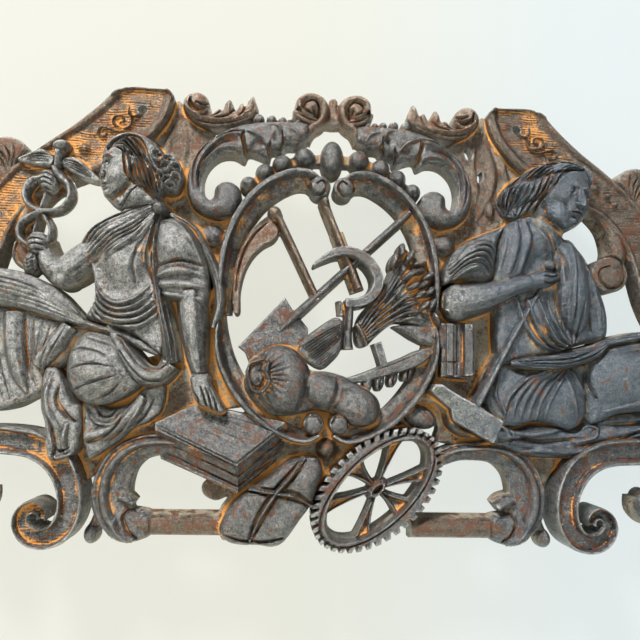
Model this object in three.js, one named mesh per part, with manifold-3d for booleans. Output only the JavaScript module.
// Fireback: a pierced, high-relief cast-iron panel. Two reclining figures in classical dress sit
// either side of a beaded ring that holds a trophy of tools; a chest, a bale and a cogwheel lie
// in front of it, on a base of C-scrolls and a round rail. Two straps with screw holes hang it.
//
// Drawn as a pattern-maker lays it out: x to the right of the panel's centre line, y up from the
// foot of the scrolls, z the height of the relief above the flat back. The last step stands the
// panel up: +Z up, front towards -Y, origin at the middle of the bottom of its bounding box.
import * as THREE from "three";
import { mergeVertices } from "three/addons/utils/BufferGeometryUtils.js";
import Module from "manifold-3d";

const wasm = await Module();
wasm.setup();

// ---- Driving dimensions, mm ----------------------------------------------------------------
const PANEL_WIDTH = 600; // over the end leaves
const PANEL_HEIGHT = 325; // from the lowest cog tooth to the top of the crest
const GAP = 0.3; // gap between neighbouring pieces
const WEB = 9; // thickness of the sunk ground between the reliefs
const SCREW_HOLE = 6.4; // diameter of the hanging holes in the straps
const SCREW_DROP = 16; // their distance below the top of the strap

const STRAP_TOP = 18; // rims of the hanging straps
const RING_TOP = 22; // outer bead of the ring round the trophy
const ACANTHUS_TOP = 21; // knobbed leaf scrolls beside the ring
const CREST_TOP = 22; // curls and leaves along the top edge
const FOOT_TOP = 20; // C-scrolls at the foot
const VOLUTE_TOP = 26; // big volutes at the foot
const RAIL_RADIUS = 8; // round rail at the bottom
const RAIL_TOP = 18;
const BEAD_TOP = 18; // graduated beads over the ring
const BEAD_RADII = [8, 7.4, 7, 6.4];
const SIDE_BALL_RADIUS = 8.5;
const DROP_BALL_RADIUS = 5;
const CENTRE_BALL_RADIUS = 7.5;

const HANDLE_RADIUS = 3.2; // tool handles in the trophy
const HANDLE_TOP = 18;
const LAP = 13; // height at which crossing handles are halved together

const WHEEL_RADIUS = 52; // cogwheel over the tips of its teeth, along its long axis
const WHEEL_SQUASH = 0.61; // it is seen at a slant, so its short axis is this share of the long
const WHEEL_TURN = 47; // degrees from x to its long axis
const WHEEL_TEETH = 42;
const TOOTH_DEPTH = 4.2;
const WHEEL_RIM = 7.5; // rim inside the teeth
const WHEEL_SPOKES = 8;
const SPOKE_WIDTH = 4;
const HUB_RADIUS = 8;
const ARC_STEPS = 3; // chords in the round end of an opening between spokes
const WHEEL_TOP = 25;
const SPOKE_TOP = 17;

const CHEST_TOP = 31; // front corner of the chest lid
const LID_THICKNESS = 4;

// ---- Shapes ----------------------------------------------------------------------------------
// A smooth line through hand-placed rows of numbers; each row is [x, y] or [x, y, half width, top].
function spline(rows, steps, closed) {
  const count = rows.length;
  const row = (k) => (closed ? rows[(k + count) % count] : rows[Math.min(Math.max(k, 0), count - 1)]);
  const line = [];
  for (let i = 0; i < (closed ? count : count - 1); i++) {
    const [a, b, c, d] = [row(i - 1), row(i), row(i + 1), row(i + 2)];
    for (let s = 0; s < steps; s++) {
      const t = s / steps;
      line.push(b.map((_, k) => 0.5 * (2 * b[k] + (c[k] - a[k]) * t
        + (2 * a[k] - 5 * b[k] + 4 * c[k] - d[k]) * t * t
        + (3 * b[k] - a[k] - 3 * c[k] + d[k]) * t * t * t)));
    }
  }
  if (!closed) line.push(rows[count - 1]);
  return line;
}

function toSolid(geometry) {
  geometry.deleteAttribute("normal");
  geometry.deleteAttribute("uv");
  const merged = mergeVertices(geometry, 1e-4);
  const index = merged.index.array;
  const triangles = [];
  for (let i = 0; i < index.length; i += 3) {
    const [a, b, c] = [index[i], index[i + 1], index[i + 2]];
    if (a !== b && b !== c && c !== a) triangles.push(a, b, c);
  }
  const mesh = new wasm.Mesh({
    numProp: 3,
    vertProperties: Float32Array.from(merged.attributes.position.array),
    triVerts: Uint32Array.from(triangles),
  });
  return new wasm.Manifold(mesh);
}

// Closed skin over a stack of rings with the same number of points, capped at both ends.
function loft(rings) {
  const count = rings[0].length;
  const position = rings.flat(2);
  const index = [];
  for (let r = 0; r + 1 < rings.length; r++) {
    for (let i = 0; i < count; i++) {
      const [a, b] = [r * count + i, r * count + ((i + 1) % count)];
      index.push(a, b, b + count, a, b + count, a + count);
    }
  }
  const cap = (ring, start, flip) => {
    const contour = flatten(ring);
    for (const [a, b, c] of THREE.ShapeUtils.triangulateShape(contour, [])) {
      index.push(start + a, start + (flip ? c : b), start + (flip ? b : c));
    }
  };
  cap(rings[0], 0, true);
  cap(rings[rings.length - 1], (rings.length - 1) * count, false);
  return skin(position, index);
}

function skin(position, index) {
  const geometry = new THREE.BufferGeometry();
  geometry.setAttribute("position", new THREE.Float32BufferAttribute(position, 3));
  geometry.setIndex(outward(position, index));
  return toSolid(geometry);
}

// A ring of points as it is seen square to its own plane, for cutting its cap into triangles.
function flatten(ring) {
  const points = ring.map((p) => new THREE.Vector3(...p));
  const normal = new THREE.Vector3();
  points.forEach((p, i) => normal.add(new THREE.Vector3().crossVectors(p, points[(i + 1) % points.length])));
  const turn = new THREE.Quaternion().setFromUnitVectors(normal.normalize(), new THREE.Vector3(0, 0, 1));
  return points.map((p) => {
    const q = p.applyQuaternion(turn);
    return new THREE.Vector2(q.x, q.y);
  });
}

// Turns the triangles round if they enclose a negative volume.
function outward(position, index) {
  const at = (k) => new THREE.Vector3().fromArray(position, k * 3);
  let volume = 0;
  for (let i = 0; i < index.length; i += 3) {
    volume += at(index[i]).dot(at(index[i + 1]).cross(at(index[i + 2])));
  }
  return volume < 0 ? index.slice().reverse() : index;
}

function counterclockwise(outline) {
  const area = THREE.ShapeUtils.area(outline.map(([x, y]) => new THREE.Vector2(x, y)));
  return area < 0 ? outline.slice().reverse() : outline;
}

// The outline moved inwards by a distance, or outwards where it is negative.
function inset(outline, distance) {
  const MITRE = 1.6;
  return outline.map(([x, y], i) => {
    const [px, py] = outline[(i + outline.length - 1) % outline.length];
    const [nx, ny] = outline[(i + 1) % outline.length];
    const before = new THREE.Vector2(x - px, y - py).normalize();
    const after = new THREE.Vector2(nx - x, ny - y).normalize();
    const normal = new THREE.Vector2(-before.y - after.y, before.x + after.x);
    const half = Math.max(normal.length() / 2, 1e-3);
    const reach = (distance * Math.min(1 / half, MITRE)) / (2 * half);
    return [x + normal.x * reach, y + normal.y * reach];
  });
}

// The same, with the distance halved until the outline no longer crosses itself.
function safeInset(outline, distance) {
  for (let reach = distance; Math.abs(reach) > 0.02; reach /= 2) {
    const moved = inset(outline, reach);
    const contour = moved.map(([x, y]) => new THREE.Vector2(x, y));
    if (THREE.ShapeUtils.triangulateShape(contour, []).length === outline.length - 2) return moved;
  }
  return outline;
}

// Every shape below is a function of how it is used: base is the height it starts at, which is the
// flat back unless it lies over another piece, and grow adds a clearance all round. With a
// clearance the shape is a cutter, and has upright walls instead of its rounded edges.

// A raised area with a rounded edge, from its outline.
function pad(outline, top, edge = 3, steps = 2) {
  return ({ grow = 0, base = 0 }) => {
    const contour = counterclockwise(steps > 1 ? spline(outline, steps, true) : outline);
    const rounded = [[0, top - edge], [edge, top]];
    const levels = [[0, base - grow], ...(grow > 0 ? [[0, top + grow]] : rounded)];
    return loft(levels.map(([d, z]) => safeInset(contour, d - grow).map(([x, y]) => [x, y, z])));
  };
}

// A shape that starts higher up, on top of another piece.
const raised = (base, shape) => ({ grow = 0 }) => shape({ grow, base });

// Cross-sections of a band: across from -1 to 1, and up from 0 at the base to 1 at the top.
const ROUND = [[-1, 0.35], [-0.5, 0.95], [0.5, 0.95], [1, 0.35]];
const BLOCK = [[-1, 0.8], [-0.75, 1], [0.75, 1], [1, 0.8]];
const RIDGE = [[-1, 0.45], [0, 1], [1, 0.45]];
const RIMMED = [[-1, 1], [-0.76, 1], [-0.66, 0.6], [0.66, 0.6], [0.76, 1], [1, 1]];
const BEADED = [[-1, 0.2], [0.1, 0.45], [0.3, 1], [0.85, 1], [1, 0.6]];
const FOLDED = [[-1, 0.4], [-0.55, 0.95], [-0.1, 0.62], [0.4, 1], [1, 0.4]];

// A band of relief along a line of stations [x, y, half width, top].
function band(stations, profile = ROUND, steps = 3) {
  return ({ grow = 0, base = 0 }) => {
    const rows = spline(stations, steps, false);
    const section = [[-1, 0], ...(grow > 0 ? [[-1, 1], [1, 1]] : profile), [1, 0]];
    const floor = base - grow;
    return loft(rows.map(([x, y, half, top], i) => {
      const [bx, by] = rows[Math.max(i - 1, 0)];
      const [ax, ay] = rows[Math.min(i + 1, rows.length - 1)];
      const along = new THREE.Vector2(ax - bx, ay - by).normalize();
      const push = i === 0 ? -grow : i === rows.length - 1 ? grow : 0;
      const rise = top + grow - floor;
      return section.map(([u, v]) => [
        x + along.x * push - along.y * u * (half + grow),
        y + along.y * push + along.x * u * (half + grow),
        floor + v * rise,
      ]);
    }));
  };
}

// A round or oval dome, turned from its profile.
function dome(x, y, rx, ry, top, turn = 0, sides = 9) {
  return ({ grow = 0, base = 0 }) => {
    const floor = base - grow;
    const rise = top + grow - floor;
    const wall = grow > 0 ? [[1, 1]] : [[1, 0.4], [0.72, 0.86]];
    const profile = [[0, 0], [1, 0], ...wall, [0, 1]].map(([r, z]) => new THREE.Vector2(r, z));
    const geometry = new THREE.LatheGeometry(profile, sides);
    geometry.rotateX(Math.PI / 2);
    geometry.scale(rx + grow, ry + grow, rise);
    geometry.rotateZ(THREE.MathUtils.degToRad(turn));
    geometry.translate(x, y, floor);
    return toSolid(geometry);
  };
}

function prism(outline, low, high) {
  const shape = new THREE.Shape(counterclockwise(outline).map(([x, y]) => new THREE.Vector2(x, y)));
  const geometry = new THREE.ExtrudeGeometry(shape, { depth: high - low, bevelEnabled: false });
  geometry.translate(0, 0, low);
  return toSolid(geometry);
}

// ---- Pieces of the frame, drawn for the right half and mirrored for the left -----------------
const mirror = (side, rows) => rows.map(([x, ...rest]) => [side * x, ...rest]);
const flip = (side, profile) => (side > 0 ? profile : profile.map(([u, v]) => [-u, v]).reverse());

const STRAP_END = [137.5, 321.5];
function strap(side) {
  const line = [
    [...STRAP_END, 22, STRAP_TOP], [138, 313, 22, STRAP_TOP], [143, 303, 22, STRAP_TOP],
    [154, 291, 21.5, STRAP_TOP],
    [173, 276, 19.5, STRAP_TOP], [194, 263, 16.5, STRAP_TOP], [214, 248, 14, STRAP_TOP],
    [229, 227, 13, STRAP_TOP], [238, 203, 13, STRAP_TOP], [244, 178, 12, STRAP_TOP],
    [254, 156, 10, STRAP_TOP], [268, 143, 7, STRAP_TOP],
  ];
  const leaf = [
    [228, 250], [222, 262], [216, 272], [222, 279], [234, 281], [246, 274], [252, 262], [252, 246],
    [260, 232], [262, 214], [256, 196], [250, 212], [243, 230],
  ];
  return [band(mirror(side, line), RIMMED, 1), pad(mirror(side, leaf), 16, 2, 1), ...strapScroll(side)];
}

function strapScroll(side) {
  const line = [
    [188, 249, 5, 15], [200, 245, 6, 16], [210, 232, 7, 17], [214, 216, 8, 18], [210, 202, 9, 20],
  ];
  return [band(mirror(side, line), ROUND, 1), dome(side * 206, 198, 14, 13, STRAP_TOP + 3)];
}

function topLeaf(side) {
  const leaf = [
    [104, 303], [96, 297], [84, 298], [72, 300], [62, 303], [56, 307], [54, 311], [58, 320], [63, 316],
    [65, 312], [67, 314], [71, 309], [75, 316], [79, 314], [81, 308], [84, 310], [88, 305], [94, 303],
  ];
  return [pad(mirror(side, leaf), CREST_TOP - 3, 1.5, 1), dome(side * 99.5, 311, 9.5, 9.5, CREST_TOP)];
}

function crestBeads(side) {
  const places = [[55, 303.5, 4.2], [45, 303.2, 3.5], [37.5, 302.6, 2.8], [31, 302.4, 2.4]];
  return places.map(([x, y, r]) => dome(side * x, y, r, r, 17, 0, 8));
}

function acanthusScroll(side) {
  const outline = [
    [17, 290], [20, 299], [40, 301.5], [60, 300], [76, 293], [89, 285], [98, 275], [102.5, 262],
    [103, 248], [99, 237], [90, 230], [79, 229], [70, 232], [65.5, 240], [65.5, 249], [71, 254.5],
    [79, 254], [84, 248], [84.5, 242], [88, 241], [92, 248], [92, 258], [88, 268], [80, 275],
    [71, 276], [64, 272.5], [60, 279], [52, 276], [46, 274], [44, 279], [35, 281], [27, 285],
  ];
  return [pad(mirror(side, outline), ACANTHUS_TOP, 3.5, 1), ...crestBeads(side)];
}

function ringUpper(side) {
  const line = [
    [10, 255, 5, 20], [17, 259, 6, RING_TOP], [28, 259, 6.5, RING_TOP], [42, 252, 7, RING_TOP],
    [54, 241, 7, RING_TOP], [63, 227, 7, RING_TOP], [69, 211, 7, RING_TOP], [72, 194, 6.5, RING_TOP],
    [73, 177, 5.5, RING_TOP], [73, 160, 5, RING_TOP],
  ];
  return [
    band(mirror(side, line), flip(side, BEADED), 1),
    dome(side * 8, 254, 6.6, 7, RING_TOP + 2),
    dome(side * 84, 216, SIDE_BALL_RADIUS, SIDE_BALL_RADIUS, 17),
    rod([side * 80, 216], [side * 70, 214], 12, 4),
  ];
}

function ringLower(side) {
  const line = [
    [74, 158, 2.5, 16], [74, 146, 4.5, RING_TOP], [71, 130, 6, RING_TOP], [64, 115, 6.5, RING_TOP],
    [54, 101, 6.5, RING_TOP], [42, 89, 6, RING_TOP], [28, 80, 5, RING_TOP], [15, 77, 4.5, RING_TOP],
    [6, 81, 4.5, RING_TOP],
  ];
  return [band(mirror(side, line), flip(side, BEADED), 1), dome(side * 8.5, 85.5, 6.8, 6.8, RING_TOP + 2)];
}

function beadRow(side) {
  const places = [[20, 277], [36, 271.5], [48.5, 264.5], [60, 255]];
  const strip = [[0, 277, 4, 11], [20, 277, 4, 11], [36, 271.5, 4, 11], [60, 255, 3, 11]];
  return [
    band(mirror(side, strip), BLOCK, 1),
    ...places.map(([x, y], i) => dome(side * x, y, BEAD_RADII[i], BEAD_RADII[i], BEAD_TOP, 0, 8)),
  ];
}

function crestVolute(side) {
  const line = [
    [20, 290, 4, 14], [13, 298, 4, 16], [8, 306, 4, 18], [8.5, 315, 4, 20], [15, 321, 4, 21],
    [23, 319, 4, 21], [26, 311, 3, 20],
  ];
  return [band(mirror(side, line), ROUND, 1), dome(side * 17, 314, 7.5, 7.5, CREST_TOP)];
}

const crestBlock = () => [
  pad([[-9, 305], [-9, 309], [-3.5, 312], [-3, 322], [0, 324], [3, 322], [3.5, 312], [9, 309],
    [9, 305]], 14, 1.5, 1),
];

function footScroll(side) {
  const line = [
    [98, 68, 5, 15], [110, 69, 6, FOOT_TOP], [122, 68, 7, FOOT_TOP], [132, 64, 8.5, FOOT_TOP],
    [140, 56, 10, FOOT_TOP], [144, 45, 11, FOOT_TOP], [145, 34, 11.5, FOOT_TOP], [142, 24, 11.5, FOOT_TOP],
    [136, 16, 10, FOOT_TOP], [127, 9.5, 7, FOOT_TOP],
  ];
  return [
    band(mirror(side, line), RIMMED, 1),
    dome(side * 124, 30, 9, 5.5, 14),
    dome(side * 157, 9, DROP_BALL_RADIUS, 7, 16, 0, 10),
    rod([side * 155, 12], [side * 144, 22], 13, 3),
  ];
}

function baseVolute(side) {
  const line = [
    [276, 40, 3, 14], [271, 52, 6, 19], [260, 63, 8, 22], [242, 70, 9, 24], [220, 71, 9.5, VOLUTE_TOP],
    [200, 69.5, 9.5, VOLUTE_TOP], [188, 65.5, 9.5, VOLUTE_TOP], [178, 58, 9.5, VOLUTE_TOP],
    [171, 47, 9, VOLUTE_TOP], [167.5, 34, 8.5, VOLUTE_TOP], [168, 23, 8, VOLUTE_TOP],
    [173, 14, 7.5, VOLUTE_TOP], [181, 9, 7, VOLUTE_TOP], [190, 8.5, 6, VOLUTE_TOP], [197, 13, 5, VOLUTE_TOP],
    [200.5, 20, 4.5, VOLUTE_TOP], [198, 27, 4, VOLUTE_TOP], [191, 30, 3.4, VOLUTE_TOP],
  ];
  return [
    band(mirror(side, line), RIMMED, 1),
    dome(side * 188.5, 22, 6, 6, VOLUTE_TOP - 2),
    ...endFoot(side),
    ...endLeaf(side),
  ];
}

function endFoot(side) {
  const line = [
    [250, 58, 5, 17], [252, 44, 7, 20], [246, 30, 7, 22], [234, 24, 6, 22], [225, 30, 5, 21],
    [224, 40, 4, 20],
  ];
  return [band(mirror(side, line), ROUND, 1), dome(side * 231, 37, 7, 7, 19)];
}

function endLeaf(side) {
  const leaf = [
    [246, 70], [262, 60], [276, 48], [300, 44], [297, 58], [288, 68], [296, 76], [288, 84], [277, 84],
    [284, 96], [280, 108], [270, 102], [266, 92], [262, 104], [256, 98], [252, 88],
  ];
  return [pad(mirror(side, leaf), 16, 2, 1)];
}

// ---- Left-hand figure, with a winged staff ----------------------------------------------------
const LEFT_HEAD = () => [
  pad([[-158, 240], [-161, 252], [-161, 266], [-157, 277], [-148, 283], [-136, 282], [-127, 276],
    [-122, 267], [-125, 252], [-122, 240], [-128, 236], [-136, 243], [-144, 236], [-152, 235]], 30, 5, 1),
  dome(-145, 258, 12, 17, 37),
  dome(-117, 254, 8, 9, 29),
  band([[-146, 242, 8, 22], [-141, 232, 9, 23], [-136, 224, 12, 24]], ROUND, 1),
];

const LEFT_TORSO = () => [
  pad([[-146, 229], [-158, 221], [-168, 213], [-172, 203], [-166, 192], [-162, 178], [-161, 165],
    [-166, 153], [-150, 149], [-136, 144], [-124, 135], [-114, 131], [-113, 145], [-120, 165],
    [-123, 185], [-125, 205], [-124, 222], [-130, 231], [-138, 232]], 26, 5, 1),
  dome(-139, 192, 13, 20, 34, -12),
  band([[-158, 190, 8, 27], [-150, 174, 9, 28], [-136, 160, 9, 28], [-124, 148, 7, 26]], FOLDED, 1),
];

const LEFT_SLEEVE = () => [
  pad([[-120, 222], [-108, 224], [-97, 216], [-89, 203], [-85, 188], [-84, 172], [-88, 163], [-100, 168],
    [-113, 170], [-121, 178], [-123, 195], [-123, 212]], 27, 4, 1),
  dome(-106, 205, 14, 17, 34, 8),
];

const LEFT_FOREARM = () => [
  band([[-97, 172, 11, 28], [-94, 152, 10.5, 29], [-91, 132, 8.5, 28], [-88, 116, 6, 26],
    [-83, 107, 7.5, 26], [-76, 101, 7, 26], [-71, 95, 3.5, 29]], ROUND, 1),
];

const LEFT_RAISED_ARM = () => [
  band([[-160, 204, 12, 26], [-172, 194, 12, 28], [-184, 185, 10.5, 28], [-193, 190, 9, 27],
    [-197, 200, 7, 26], [-200, 208, 6, 25]], ROUND, 1),
];

const LEFT_MANTLE = () => [
  band([[-121, 226, 3, 24], [-122, 205, 4, 26], [-120, 182, 5, 27], [-115, 158, 6, 27],
    [-110, 138, 7, 27], [-109, 122, 7, 26]], FOLDED, 1),
  band([[-109, 122, 7, 26], [-117, 115, 7, 27], [-128, 119, 8, 28], [-138, 130, 7, 27],
    [-146, 144, 5, 24]], ROUND, 1),
];

const LEFT_CLOAK_EDGE = () => [
  band([[-112, 227, 3, 20], [-97, 219, 3.5, 21], [-87, 203, 3.5, 22], [-79, 185, 4, 22],
    [-76, 168, 4, 21], [-80, 152, 3, 18]], ROUND, 1),
];

const LEFT_WRAP = () => [
  pad([[-258, 170], [-246, 181], [-230, 185], [-212, 183], [-198, 178], [-184, 170], [-172, 158],
    [-163, 150], [-146, 147], [-128, 139], [-116, 129], [-128, 134], [-146, 143], [-165, 147],
    [-186, 152], [-206, 158], [-228, 161], [-246, 160]], 25, 3, 1),
];

const LEFT_LAP = () => [
  pad([[-175, 121], [-172, 135], [-162, 145], [-150, 144], [-141, 136], [-132, 122], [-128, 110],
    [-136, 102], [-150, 96], [-165, 98], [-174, 108]], 25, 5, 1),
  dome(-153, 119, 20, 20, 33),
  rod([-160, 142], [-160, 152], 24, 6),
];

const LEFT_SKIRT = () => [
  pad([[-262, 150], [-246, 158], [-226, 160], [-204, 157], [-184, 151], [-164, 146], [-172, 137],
    [-177, 124], [-184, 118], [-190, 104], [-200, 98], [-212, 92], [-230, 90], [-250, 98],
    [-264, 118]], 21, 3, 1),
  band([[-246, 152, 8, 22], [-238, 132, 9, 26], [-228, 112, 7, 24], [-222, 98, 5, 22]], FOLDED, 1),
  band([[-214, 154, 8, 24], [-212, 134, 8, 27], [-206, 114, 6, 26], [-202, 104, 4, 22]], FOLDED, 1),
  band([[-176, 146, 8, 25], [-184, 134, 8, 28], [-194, 122, 6, 27]], FOLDED, 1),
];

const LEFT_HANGING_FOLD = () => [
  pad([[-188, 118], [-181, 117], [-176, 106], [-171, 96], [-166, 94], [-164, 82], [-165, 68], [-168, 62],
    [-181, 58], [-184, 66], [-186, 82], [-190, 92], [-190, 104]], 25, 3, 1),
  band([[-184, 108, 3, 26], [-181, 92, 4.5, 29], [-176, 80, 4, 28], [-173, 68, 5, 27]], RIDGE, 1),
];

const LEFT_UNDERSKIRT = () => [
  pad([[-163, 97], [-148, 93], [-134, 98], [-126, 106], [-114, 110], [-113, 94], [-121, 85],
    [-131, 80], [-139, 72], [-150, 64], [-160, 60], [-164, 78]], 18, 2.5, 1),
  band([[-160, 74, 4, 19], [-146, 78, 5, 22], [-132, 90, 5, 22], [-126, 100, 3, 20]], FOLDED, 1),
];

const wing = (tip, root, swell) => pad([[root[0], root[1] + 5],
  [(root[0] + tip[0]) / 2, (root[1] + tip[1]) / 2 + swell], tip,
  [(root[0] + tip[0]) / 2, (root[1] + tip[1]) / 2 - swell], [root[0], root[1] - 5]], 21, 2, 1);

// The staff lies over the strap, so it starts at the height of the strap's sunk field.
const STAFF_SEAT = 10;
const STAFF = () => [
  band([[-190, 274, 5.5, 24], [-191, 268, 4.5, 24], [-193, 256, 3, 21], [-198, 238, 2.6, 21],
    [-203, 218, 2.6, 21], [-206, 196, 2.6, 21]], ROUND, 1),
  dome(-204, 189, 5.5, 9, 27, -12, 10),
  wing([-220, 263], [-190, 264], 7),
  wing([-162, 250], [-191, 264], 7),
].map((shape) => raised(STAFF_SEAT, shape));

// The serpents lie over the staff, which is grooved where they cross it.
const SERPENT_SEAT = 16;
const SERPENTS = () => [
  [[-201, 250, 3, 25], [-210, 242, 4, 24], [-209, 232, 3.2, 24], [-200, 226, 3, 27], [-188, 226, 3.4, 27],
    [-181, 235, 3.6, 26], [-183, 246, 3.6, 25], [-190, 252, 4.5, 26]],
  [[-192, 226, 3, 26], [-205, 222, 3.2, 27], [-213, 213, 3.2, 25], [-209, 203, 3, 25], [-200, 201, 3, 27],
    [-193, 207, 3, 25], [-193, 216, 2.6, 25], [-200, 224, 2.4, 26]],
].map((line) => raised(SERPENT_SEAT, band(line, ROUND, 2)));

// ---- Right-hand figure, with a hammer -----------------------------------------------------------
const RIGHT_HEAD = () => [
  pad([[146, 236], [136, 236], [126, 242], [124, 252], [130, 261], [139, 268], [148, 275], [162, 279],
    [177, 278], [187, 271], [189, 258], [185, 244], [179, 234], [170, 229.5], [160, 232],
    [153, 239]], 26, 5, 1),
  dome(170, 255, 16, 23, 38, -6),
  dome(136, 249, 10, 10, 29),
];

const RIGHT_TORSO = () => [
  pad([[152, 237], [164, 231], [171, 222], [181, 214], [188, 204], [193, 192], [199, 176], [201, 162],
    [199, 150], [186, 147], [168, 141], [150, 136], [136, 132], [122, 132], [119, 150], [119, 172],
    [117, 192], [119, 212], [126, 226], [140, 230]], 25, 5, 1),
  dome(174, 192, 12, 24, 33, 8),
  dome(150, 222, 12, 12, 30),
  band([[150, 178, 10, 27], [160, 164, 11, 30], [172, 148, 9, 28]], FOLDED, 1),
  band([[128, 214, 7, 28], [132, 198, 7, 29], [136, 186, 6, 27]], FOLDED, 1),
];

const RIGHT_SHOULDER = () => [
  pad([[82, 188], [83, 200], [92, 212], [104, 220], [118, 226], [124, 227], [118, 211], [116, 193],
    [110, 189], [96, 192]], 27, 4, 1),
  band([[90, 194, 4, 28], [100, 202, 6, 31], [110, 212, 5, 30]], FOLDED, 1),
];

const RIGHT_ARM = () => [
  band([[88, 166, 8, 27], [95, 172, 11.5, 31], [112, 177, 11, 32], [130, 184, 8.5, 32], [144, 189, 8, 32],
    [153, 191, 8.5, 33], [160, 192, 5.5, 30]], ROUND, 1),
  dome(157, 200, 4, 5, 29, 0, 10),
];

const RIGHT_SASH = () => [
  band([[136, 130, 3, 24], [152, 134, 5, 28], [170, 136, 6, 29], [186, 141, 6.5, 29], [200, 147, 4, 27],
    [222, 152, 3.4, 26], [244, 154, 3, 22]], FOLDED, 1),
];

const RIGHT_SKIRT = () => [
  pad([[124, 130], [138, 126], [154, 127], [172, 128], [184, 130], [183, 114], [184, 98], [178, 88],
    [170, 86], [158, 90], [146, 91], [132, 87], [122, 90], [113, 99], [113, 110], [118, 122]], 22, 3, 1),
  band([[150, 124, 5, 24], [136, 116, 6, 27], [129, 104, 5, 26], [132, 94, 4, 24]], RIDGE, 1),
  band([[164, 124, 4, 25], [154, 114, 6, 28], [152, 100, 6, 27], [158, 93, 4, 24]], RIDGE, 1),
  band([[168, 120, 3, 25], [167, 106, 5, 28], [170, 94, 4, 26]], RIDGE, 1),
];

const RIGHT_KNEE = () => [
  pad([[184, 130], [198, 142], [220, 148], [242, 150], [258, 140], [262, 124], [250, 108], [232, 101],
    [208, 98], [192, 91], [186, 92], [184, 110]], 26, 5, 1),
  dome(208, 122, 20, 22, 33, -20),
];

const RIGHT_HEM = () => [
  pad([[122, 88], [134, 85], [148, 89], [164, 87], [176, 84], [176, 72], [164, 66], [150, 66], [138, 68],
    [126, 72], [116, 76]], 21, 4, 1),
];

const RIGHT_TRAIN = () => [
  pad([[168, 84], [186, 90], [204, 96], [228, 99], [246, 104], [256, 96], [246, 84], [228, 76], [208, 70],
    [188, 66], [168, 70]], 20, 3, 1),
];

const HAMMER_HANDLE = () => [band([[154, 194, 3.6, 25], [128, 146, 3.6, 27], [99, 94, 3.6, 27]], ROUND, 1)];
const HAMMER_HEAD = () => [pad([[79, 105], [84, 110], [121, 90], [114, 76], [87, 90]], 31, 1.2, 1)];
const ANVIL_BLOCK = () => [
  pad([[80, 120], [80, 140], [76, 142], [76, 156.5], [80, 158], [100, 158], [104, 153], [104, 123],
    [100, 119]], 19, 1, 1),
  band([[85.5, 122, 2.6, 22], [85.5, 157, 2.6, 22]], BLOCK, 1),
  band([[98, 123, 3.2, 23], [98, 157, 3.2, 23]], BLOCK, 1),
];
const ANVIL_HORN = () => [
  pad([[46, 155], [56, 156.5], [68, 156.5], [79, 156.5], [79, 141], [70, 142], [60, 146]], 17, 1.2, 1),
];
const BRACKET = () => [
  dome(67, 94, 11, 8, 18, -10),
  band([[66, 103, 4, 15], [77, 103, 4.5, 18], [85, 95, 4.5, 19], [90, 86, 4, 18],
    [99, 80, 3.5, 15]], ROUND, 1),
];

// ---- Trophy of tools inside the ring -------------------------------------------------------------
const rod = (from, to, top = HANDLE_TOP, half = HANDLE_RADIUS) => (
  band([[...from, half, top], [...to, half, top]], ROUND, 1)
);

const SICKLE = () => [
  band([[-10, 198, 0.8, 19], [-1, 204, 2, 21], [10, 207, 3, 22], [22, 204.5, 3.6, 22], [31, 197, 3.8, 22],
    [34.5, 187, 3.8, 22], [31, 177, 3.6, 22], [22, 171.5, 3, 22], [12, 170.5, 3, 22]], BLOCK, 2),
  rod([14.6, 171], [14.2, 146], 21),
];
const STRAIGHT_HANDLE = () => [rod([-4, 243], [20, 184], 19)];
const SPADE = () => [
  rod([55, 236], [-20, 163]),
  band([[-14, 169, 3.6, 18], [-22, 161, 4, 18], [-32, 151, 3, 14]], ROUND, 1),
  pad([[-31, 173], [-63, 138], [-54, 128], [-34, 122], [-14, 140], [-16, 156]], 12, 1, 1),
];
const SCYTHE_SNATH = () => [rod([-39, 236], [-8, 172]), dome(-40, 233, 5.5, 5.5, 20, 0, 10)];
const SCYTHE_BLADE = () => [
  pad([[-44, 231], [-55, 223], [-62, 211], [-66.5, 194], [-67.5, 176], [-66, 163], [-63.5, 163],
    [-63, 176], [-60, 191], [-55, 202], [-48, 210], [-39, 216], [-41, 224]], 14, 1.2, 1),
];

function sheafFan(tie, fingers, spread, top) {
  return fingers.map(([x, y, half]) => band([
    [tie[0], tie[1], 3, top], [(tie[0] + x) / 2 + spread[0], (tie[1] + y) / 2 + spread[1], half, top + 1],
    [x, y, half * 0.5, top - 4]], RIDGE, 1));
}
const WHEAT = () => [
  pad([[19, 150], [22, 162], [32, 172], [40, 182], [46, 196], [50, 210], [56, 212], [62, 203], [69, 196],
    [72, 180], [72, 168], [70, 160], [56, 160], [44, 156], [34, 148], [26, 142]], 17, 2, 1),
  ...sheafFan([24, 148], [[51, 212, 4], [60, 203, 4], [68, 193, 4], [71, 180, 4], [71, 168, 4]], [-4, 5], 22),
];
const WHEAT_BUTT = () => [
  pad([[12, 150], [4, 158], [-8, 151], [-18, 142], [-20, 134], [-12, 128], [-2, 124], [6, 130],
    [13, 140]], 16, 2, 1),
  ...sheafFan([10, 146], [[-6, 149, 3], [-17, 139, 3.4], [-9, 129, 3.2]], [0, 0], 19),
];
const WHEAT_TIE = () => [band([[17, 138, 4, 24], [22, 145, 4.6, 26], [20, 153, 4, 24]], ROUND, 1)];
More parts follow.
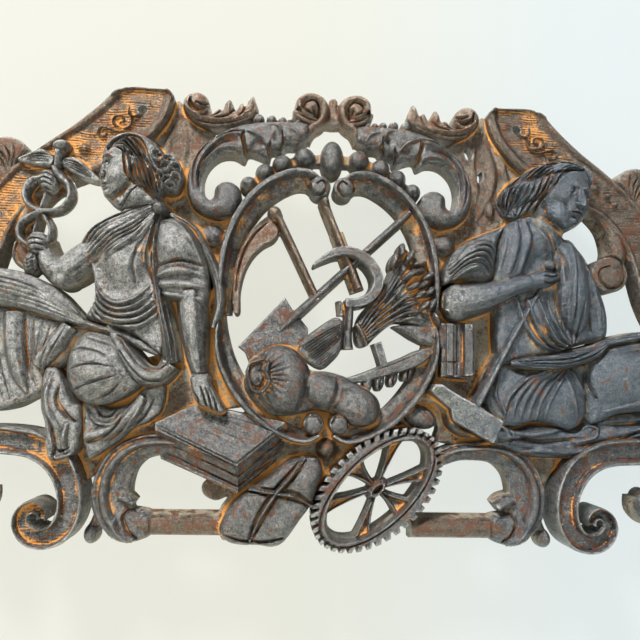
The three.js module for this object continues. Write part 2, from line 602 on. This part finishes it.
const SACK = () => [
  pad([[-56, 122], [-48, 133], [-34, 139], [-22, 133], [-13, 123], [2, 121], [14, 118], [26, 111],
    [36, 104], [38, 95], [32, 86], [20, 84], [6, 93], [-6, 95], [-18, 96], [-27, 90], [-40, 91], [-51, 99],
    [-58, 110]], 20, 5, 1),
  dome(-33, 114, 19, 23, 32, 20),
  dome(20, 99, 16, 13, 27, -20),
  dome(-4, 108, 16, 11, 27, -20),
  pad([[-43, 129], [-48, 127], [-52, 124], [-55, 118], [-52, 113], [-51, 107], [-45, 105], [-41, 109],
    [-40, 116], [-42, 121]], 31, 2, 1),
];
const SAW = () => [
  band([[14, 114, 2.2, 14], [40, 123, 2.8, 16], [58, 128, 3.6, 17], [68, 134, 4, 18]], BLOCK, 2),
  ...[[37, 115], [47, 117], [58, 120]].map(([x, y]) => dome(x, y, 3, 6, 15, -15, 6)),
  rod([34, 142], [40, 125], 15, 2.6),
];

// ---- Chest, bale and cogwheel at the foot ------------------------------------------------------------
// The chest is drawn in relief as a box seen from its corner: lid corners left, back, right and
// front, and the three corners of its foot below them.
const LID = [[-115, 84, 19], [-90, 97, 13], [-29, 86, 17], [-59, 61, CHEST_TOP]];
const FOOT = [[-112, 60, 16], [-59, 39, 27], [-29, 64, 14]];

function chestBlock(grow, base) {
  const [left, back, right, front] = LID;
  const [footLeft, footFront, footRight] = FOOT;
  const rim = [left, footLeft, footFront, footRight, right, back];
  const centre = [(left[0] + right[0]) / 2, (back[1] + footFront[1]) / 2];
  const out = ([x, y]) => {
    const away = new THREE.Vector2(x - centre[0], y - centre[1]).setLength(2 * grow);
    return [x + away.x, y + away.y];
  };
  const corners = [...rim.map((p) => [...out(p), p[2] + grow]), [front[0], front[1], front[2] + grow]];
  const feet = rim.map((p) => [...out(p), base - grow]);
  const position = [...corners, ...feet].flat();
  const index = [5, 0, 6, 5, 6, 4, 0, 1, 6, 1, 2, 6, 2, 3, 6, 3, 4, 6];
  for (let i = 0; i < rim.length; i++) {
    const j = (i + 1) % rim.length;
    index.push(7 + i, 7 + j, j, 7 + i, j, i);
  }
  for (let i = 1; i + 1 < rim.length; i++) index.push(7, 7 + i + 1, 7 + i);
  return skin(position, index);
}

// Everything of the chest that lies above the underside of its lid, lowered by a distance.
function aboveLidPlane(drop) {
  const REACH = 200;
  const [left, back, , front] = LID.map((p) => new THREE.Vector3(...p));
  const [ahead, across] = [front.clone().sub(left), back.clone().sub(left)];
  const normal = ahead.cross(across).normalize();
  const geometry = new THREE.BoxGeometry(REACH, REACH, REACH);
  geometry.translate(0, 0, REACH / 2);
  geometry.applyQuaternion(new THREE.Quaternion().setFromUnitVectors(new THREE.Vector3(0, 0, 1), normal));
  const start = left.addScaledVector(normal, -drop);
  geometry.translate(start.x, start.y, start.z);
  return toSolid(geometry);
}

const chestShape = (cut) => ({ grow = 0, base = 0 }) => cut(chestBlock(grow, base), grow);
const CHEST_LID = () => [
  chestShape((block, grow) => block.intersect(aboveLidPlane(LID_THICKNESS + grow))),
];
const CHEST = () => [chestShape((block) => block)];

const BALE = () => [
  pad([[-14, 63], [-26, 60], [-38, 50], [-52, 40], [-62, 32], [-68, 22], [-70, 14], [-64, 7], [-54, 5],
    [-44, 5], [-34, 4], [-26, 8], [-16, 22], [-9, 32], [-5, 44], [-2, 54], [-5, 62]], 27, 5, 1),
];
const ROPE_SEAT = 22;
const ROPE = () => [
  [[-14, 63, 2, 25], [-22, 53, 2, 29], [-33, 40, 2, 30], [-42, 26, 2, 29], [-49, 9, 2.2, 25]],
  [[-51, 42, 2, 25], [-42, 41, 2, 28], [-33, 40, 2, 30], [-20, 38, 2, 29], [-9, 31, 2.2, 25]],
].map((line) => raised(ROPE_SEAT, band(line, ROUND, 1)));

function wheelPlan(geometry) {
  geometry.scale(1, WHEEL_SQUASH, 1);
  geometry.rotateZ(THREE.MathUtils.degToRad(WHEEL_TURN));
  geometry.translate(34.5, 44, 0);
  return toSolid(geometry);
}

function wheelDisc(radius, low, high, sides = 36) {
  const shape = new THREE.Shape().absarc(0, 0, radius, 0, 2 * Math.PI);
  const depth = high - low;
  const geometry = new THREE.ExtrudeGeometry(shape, { depth, bevelEnabled: false, curveSegments: sides });
  geometry.translate(0, 0, low);
  return wheelPlan(geometry);
}

const onWheel = (radius, angle) => new THREE.Vector2(radius * Math.cos(angle), radius * Math.sin(angle));

// The wheel face on: a toothed outline with the openings between its spokes.
function wheelShape() {
  const pitch = (2 * Math.PI) / WHEEL_TEETH;
  const root = WHEEL_RADIUS - TOOTH_DEPTH;
  const points = [];
  for (let i = 0; i < WHEEL_TEETH; i++) {
    for (const [r, share] of [[root, 0.05], [WHEEL_RADIUS, 0.4], [WHEEL_RADIUS, 0.7]]) {
      points.push(onWheel(r, (i + share) * pitch));
    }
  }
  const shape = new THREE.Shape(points);
  const outer = root - WHEEL_RIM;
  const sector = (2 * Math.PI) / WHEEL_SPOKES;
  for (let i = 0; i < WHEEL_SPOKES; i++) {
    const [from, to] = [i * sector, (i + 1) * sector];
    const lean = (radius) => SPOKE_WIDTH / 2 / radius;
    const hole = [from + lean(HUB_RADIUS), to - lean(HUB_RADIUS)].map((angle) => onWheel(HUB_RADIUS, angle));
    for (let k = ARC_STEPS; k >= 0; k--) {
      hole.push(onWheel(outer, from + lean(outer) + (k / ARC_STEPS) * (sector - 2 * lean(outer))));
    }
    shape.holes.push(new THREE.Path(hole));
  }
  return shape;
}

const WHEEL = () => [({ grow = 0 }) => {
  if (grow > 0) return wheelDisc(WHEEL_RADIUS + 2 * grow, -grow, WHEEL_TOP + grow);
  const wheel = wheelPlan(new THREE.ExtrudeGeometry(wheelShape(), { depth: WHEEL_TOP, bevelEnabled: false }));
  const recess = wheelDisc(WHEEL_RADIUS - TOOTH_DEPTH - WHEEL_RIM, SPOKE_TOP, WHEEL_TOP + 1, 24);
  return wheel.subtract(recess);
}];

// ---- Sunk ground between the reliefs ---------------------------------------------------------------------
const web = (outline) => pad(outline, WEB, 1, 1);
const sideWeb = (side) => [web(mirror(side, [[113, 317], [105, 305], [95, 297], [84, 290], [96, 278],
  [102, 262], [102, 246], [97, 235], [80, 228], [66, 236], [72, 214], [78, 196], [82, 176], [100, 176],
  [112, 196],
  [126, 222], [138, 236], [150, 250], [164, 268], [150, 282], [134, 292], [120, 306]]))];
const LEFT_GROUND = () => [web([[-110, 180], [-78, 190], [-76, 150], [-67, 118], [-54, 98], [-92, 96],
  [-112, 84], [-114, 66], [-128, 74], [-150, 60], [-168, 54], [-186, 60], [-186, 118], [-120, 130]])];
const RIGHT_GROUND = () => [web([[84, 190], [80, 160], [80, 120], [70, 108], [54, 90], [62, 84],
  [80, 74], [112, 74], [126, 66], [146, 58], [156, 50], [176, 60], [184, 90], [150, 130], [124, 160],
  [122, 180]])];
const CENTRE_GROUND = () => [web([[-32, 97], [10, 92], [30, 80], [50, 88], [66, 92], [80, 76], [66, 60],
  [40, 20], [-10, 30], [-40, 30], [-64, 20], [-72, 14], [-66, 30], [-76, 32], [-83, 37], [-80, 46],
  [-60, 60], [-60, 90]])];
const CENTRE_BALL = () => [dome(1, 68, CENTRE_BALL_RADIUS, CENTRE_BALL_RADIUS, 18)];

// ---- Materials ------------------------------------------------------------------------------------------
const iron = (color, roughness = 0.55) => () => (
  new THREE.MeshStandardMaterial({ color, roughness, metalness: 0.85 })
);
const FIGURE_IRON = iron(0x4b4f54, 0.45);
const FRAME_IRON = iron(0x50504e);
const RUSTY_IRON = iron(0x7a5836, 0.8);
const CREST_IRON = iron(0x5a4a42, 0.6);

// ---- The panel: pieces in front come first and are cut out of those behind them -----------------
const pieces = [];
const place = (name, material, shapes) => pieces.push({ name, material, shapes });
// These lie on the sunk ground, which runs on underneath them.
const onGround = (shapes) => shapes.map((shape) => raised(WEB, shape));

place("left_head", FIGURE_IRON, LEFT_HEAD());
place("left_sleeve", FIGURE_IRON, LEFT_SLEEVE());
place("left_forearm", FIGURE_IRON, onGround(LEFT_FOREARM()));
place("serpents", FIGURE_IRON, SERPENTS());
place("winged_staff", FIGURE_IRON, STAFF());
place("left_mantle", FIGURE_IRON, LEFT_MANTLE());
place("left_raised_arm", FIGURE_IRON, LEFT_RAISED_ARM());
place("left_torso", FIGURE_IRON, LEFT_TORSO());
place("left_cloak_edge", FIGURE_IRON, LEFT_CLOAK_EDGE());
place("left_wrap", FIGURE_IRON, [...LEFT_WRAP(), ...LEFT_LAP()]);
place("left_hanging_fold", FIGURE_IRON, LEFT_HANGING_FOLD());
place("left_skirt", FIGURE_IRON, LEFT_SKIRT());
place("right_head", FIGURE_IRON, RIGHT_HEAD());
place("right_arm", FIGURE_IRON, RIGHT_ARM());
place("hammer", FIGURE_IRON, onGround([...HAMMER_HANDLE(), ...HAMMER_HEAD()]));
place("right_shoulder", FIGURE_IRON, RIGHT_SHOULDER());
place("right_torso", FIGURE_IRON, [...RIGHT_TORSO(), ...RIGHT_SASH()]);
place("right_knee", FIGURE_IRON, RIGHT_KNEE());
place("right_skirt", FIGURE_IRON, RIGHT_SKIRT());
place("right_hem", FIGURE_IRON, [...RIGHT_HEM(), ...RIGHT_TRAIN()]);
place("anvil", FRAME_IRON, [...onGround(ANVIL_BLOCK()), ...ANVIL_HORN()]);
place("chest_lid", FRAME_IRON, CHEST_LID());
place("chest", FRAME_IRON, CHEST());
place("left_underskirt", FIGURE_IRON, LEFT_UNDERSKIRT());
place("rope", FRAME_IRON, ROPE());
place("bale", FRAME_IRON, BALE());
place("cogwheel", FRAME_IRON, WHEEL());
place("sickle", FRAME_IRON, SICKLE());
place("straight_handle", CREST_IRON, STRAIGHT_HANDLE());
place("wheat", FRAME_IRON, [...WHEAT(), ...WHEAT_TIE()]);
place("wheat_butt", FRAME_IRON, WHEAT_BUTT());
place("sack", FRAME_IRON, SACK());
place("spade", FRAME_IRON, SPADE());
place("scythe", CREST_IRON, [...SCYTHE_SNATH(), ...SCYTHE_BLADE()]);
place("saw", FRAME_IRON, SAW());
place("bracket", FRAME_IRON, BRACKET());

// Frame pieces come in pairs, one for each side.
function placePair(name, material, shapes) {
  for (const [word, side] of [["left", -1], ["right", 1]]) {
    place(`${word}_${name}`, material, shapes(side));
  }
}
place("crest", CREST_IRON, [...crestVolute(-1), ...crestVolute(1), ...crestBlock()]);
place("bead_garland", FRAME_IRON, [dome(0, 277, 8.6, 14, 21), ...beadRow(-1), ...beadRow(1)]);
placePair("top_leaf", CREST_IRON, topLeaf);
placePair("acanthus_scroll", FRAME_IRON, acanthusScroll);
placePair("ring_upper", FRAME_IRON, ringUpper);
placePair("ring_lower", FRAME_IRON, ringLower);
placePair("strap", RUSTY_IRON, strap);
placePair("foot_scroll", FRAME_IRON, footScroll);
placePair("base_volute", FRAME_IRON, baseVolute);
placePair("upper_ground", RUSTY_IRON, sideWeb);
place("left_ground", RUSTY_IRON, LEFT_GROUND());
place("right_ground", RUSTY_IRON, RIGHT_GROUND());
place("centre_ground", RUSTY_IRON, [...CENTRE_GROUND(), ...CENTRE_BALL()]);
placePair("rail", RUSTY_IRON, (side) => [rod([side * 124, 16], [side * 60, 16], RAIL_TOP, RAIL_RADIUS)]);

const boxesMeet = (a, b) => {
  const [p, q] = [a.boundingBox(), b.boundingBox()];
  return [0, 1, 2].every((k) => p.min[k] < q.max[k] && q.min[k] < p.max[k]);
};
const union = (solids) => solids.reduce((all, next) => all.add(next));
const build = (piece, use) => union(piece.shapes.map((shape) => shape(use)));
const slab = (low, high) => prism([[-400, -50], [400, -50], [400, 400], [-400, 400]], low, high);

const solids = pieces.map((piece) => build(piece, {}));
const cutters = pieces.map((piece, i) => solids[i].add(build(piece, { grow: GAP })));
const number = (name) => pieces.findIndex((piece) => piece.name === name);

// Crossing handles are halved together: the first of each pair runs over the second.
const LAPS = [["sickle", "straight_handle"], ["sickle", "spade"], ["straight_handle", "spade"],
  ["spade", "scythe"]].map((pair) => pair.map(number));
for (const [over, under] of LAPS) {
  solids[over] = solids[over].subtract(cutters[under].intersect(slab(0, LAP)));
  solids[under] = solids[under].subtract(cutters[over].intersect(slab(LAP - GAP, 100)));
}
const lapped = (i, j) => LAPS.some(([over, under]) => i === under && j === over);
const largest = (solid) => solid.decompose().sort((a, b) => b.volume() - a.volume())[0];
pieces.forEach((piece, i) => {
  for (let j = 0; j < i; j++) {
    if (!lapped(i, j) && boxesMeet(solids[i], cutters[j])) solids[i] = solids[i].subtract(cutters[j]);
  }
  solids[i] = largest(solids[i]);
});

// The drawing brought to the size of the panel.
const reach = (all, axis) => {
  const boxes = all.map((solid) => solid.boundingBox());
  return [Math.min(...boxes.map((box) => box.min[axis])), Math.max(...boxes.map((box) => box.max[axis]))];
};
const [drawnLeft, drawnRight] = reach(solids, 0);
const [drawnFoot, drawnTop] = reach(solids, 1);
const across = PANEL_WIDTH / (drawnRight - drawnLeft);
const up = PANEL_HEIGHT / (drawnTop - drawnFoot);
pieces.forEach((piece, i) => {
  solids[i] = solids[i].scale([across, up, 1]);
});

// Screw holes, from the front of each strap to the flat back.
for (const [name, side] of [["left_strap", -1], ["right_strap", 1]]) {
  const bore = new THREE.CylinderGeometry(SCREW_HOLE / 2, SCREW_HOLE / 2, 2 * STRAP_TOP + 2, 16);
  bore.rotateX(Math.PI / 2);
  bore.translate(side * STRAP_END[0] * across, STRAP_END[1] * up - SCREW_DROP, STRAP_TOP);
  solids[number(name)] = solids[number(name)].subtract(toSolid(bore));
}

// Stand the panel up and put its origin under the middle of its bounding box.
const [foot] = reach(solids, 1);
const depth = reach(solids, 2)[1];
const panel = new THREE.Group();
pieces.forEach(({ name, material }, i) => {
  const { vertProperties, triVerts } = solids[i].getMesh();
  const geometry = new THREE.BufferGeometry();
  geometry.setAttribute("position", new THREE.Float32BufferAttribute(vertProperties, 3));
  geometry.setIndex(Array.from(triVerts));
  geometry.translate(0, -foot, -depth / 2);
  geometry.rotateX(Math.PI / 2);
  geometry.computeVertexNormals();
  const mesh = new THREE.Mesh(geometry, material());
  mesh.name = name;
  panel.add(mesh);
});
export default panel;
